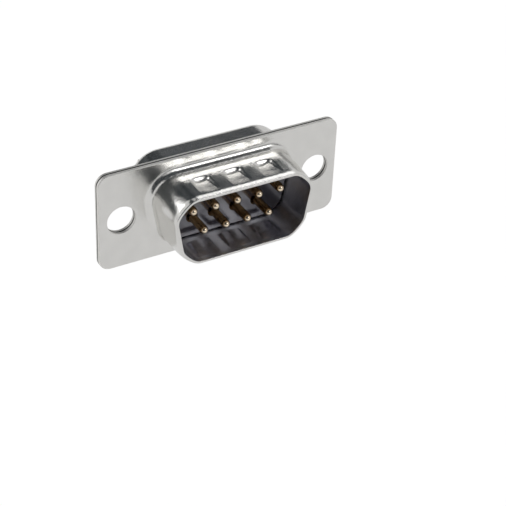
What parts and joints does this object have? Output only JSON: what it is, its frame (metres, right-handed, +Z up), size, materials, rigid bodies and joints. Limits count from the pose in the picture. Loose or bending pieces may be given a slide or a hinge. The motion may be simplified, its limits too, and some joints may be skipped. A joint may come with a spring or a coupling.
{
  "type": "d-sub connector",
  "caption": "Male D-sub panel connector: drawn steel shells with a D-shaped collar, flange with mounting holes, black insulator, gold pins and solder cups behind.",
  "frame": {"origin": "middle of the two mounting holes, on the front face of the flange", "axes": "-Y the way the pins point, towards the mating connector; +X along the flange; +Z up, towards the wider side of the D"},
  "size_m": [0.0306, 0.0144, 0.0124],
  "materials": {
    "plated_steel": "satin tin plate",
    "black_insulator": "moulded, slightly glossy",
    "gold_plate": "gold flash over brass, polished"
  },
  "bodies": {
    "root": {"front_shell": "plated_steel", "rear_shell": "plated_steel", "front_insulator": "black_insulator", "rear_insulator": "black_insulator", "contact_1": "gold_plate", "contact_2": "gold_plate", "contact_3": "gold_plate", "contact_4": "gold_plate", "contact_5": "gold_plate", "contact_6": "gold_plate", "contact_7": "gold_plate", "contact_8": "gold_plate", "contact_9": "gold_plate"}
  },
  "joints": []
}
